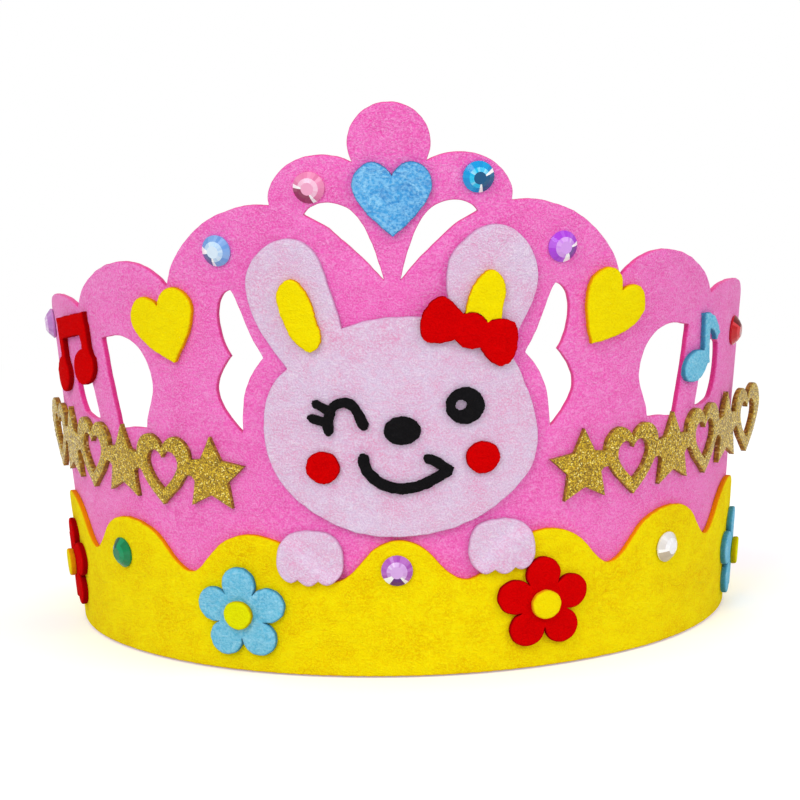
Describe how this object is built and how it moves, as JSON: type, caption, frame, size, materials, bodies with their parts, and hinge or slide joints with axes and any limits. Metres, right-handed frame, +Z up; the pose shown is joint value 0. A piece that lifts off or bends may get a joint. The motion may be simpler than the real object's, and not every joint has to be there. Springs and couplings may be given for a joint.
{
  "type": "felt party crown",
  "caption": "Child's felt party crown: a die-cut pink band with a rabbit face, felt shapes, gems and glitter garlands, worn on the head.",
  "frame": {"origin": "centre of the head opening, on the plane of the band's lower rim", "axes": "the front with the rabbit faces -Y, +X is to the right as seen from the front, +Z is up"},
  "size_m": [0.1923, 0.1903, 0.1478],
  "materials": {
    "pink_felt": "soft pressed felt",
    "yellow_felt": "soft pressed felt",
    "lilac_felt": "soft pressed felt",
    "red_felt": "soft pressed felt",
    "blue_felt": "soft pressed felt",
    "black_felt": "soft pressed felt",
    "gold_glitter": "card covered with fine gold glitter",
    "tape": "woven hook and loop tape",
    "gem_pink": "cut and silvered",
    "gem_cyan": "cut and silvered",
    "gem_pale_blue": "cut and silvered",
    "gem_violet": "cut and silvered",
    "gem_red": "cut and silvered",
    "gem_green": "cut and silvered",
    "gem_clear": "cut and silvered"
  },
  "bodies": {
    "root": {"crown_band": "pink_felt", "yellow_trim": "yellow_felt", "rabbit_head": "lilac_felt", "ear_inner_left": "yellow_felt", "ear_inner_right": "yellow_felt", "bow": "red_felt", "wink_eye": "black_felt", "open_eye": "black_felt", "nose": "black_felt", "mouth": "black_felt", "cheek_left": "red_felt", "cheek_right": "red_felt", "paw_left": "lilac_felt", "paw_right": "lilac_felt", "heart_top": "blue_felt", "heart_left": "yellow_felt", "heart_right": "yellow_felt", "note_left": "red_felt", "note_right": "blue_felt", "flower_blue_left": "blue_felt", "flower_red_right": "red_felt", "flower_red_far": "red_felt", "flower_blue_far": "blue_felt", "flower_disc_blue_left": "yellow_felt", "flower_disc_red_right": "yellow_felt", "flower_disc_red_far": "yellow_felt", "flower_disc_blue_far": "yellow_felt", "gem_pink": "gem_pink", "gem_cyan": "gem_cyan", "gem_pale_blue": "gem_pale_blue", "gem_violet": "gem_violet", "gem_mauve": "gem_violet", "gem_red": "gem_red", "gem_purple": "gem_violet", "gem_green": "gem_green", "gem_clear": "gem_clear", "gold_garland_left": "gold_glitter", "gold_garland_right": "gold_glitter", "closing_tab": "pink_felt", "hook_tape_left": "tape", "hook_tape_right": "tape", "loop_tape_left": "tape", "loop_tape_right": "tape"}
  },
  "joints": []
}
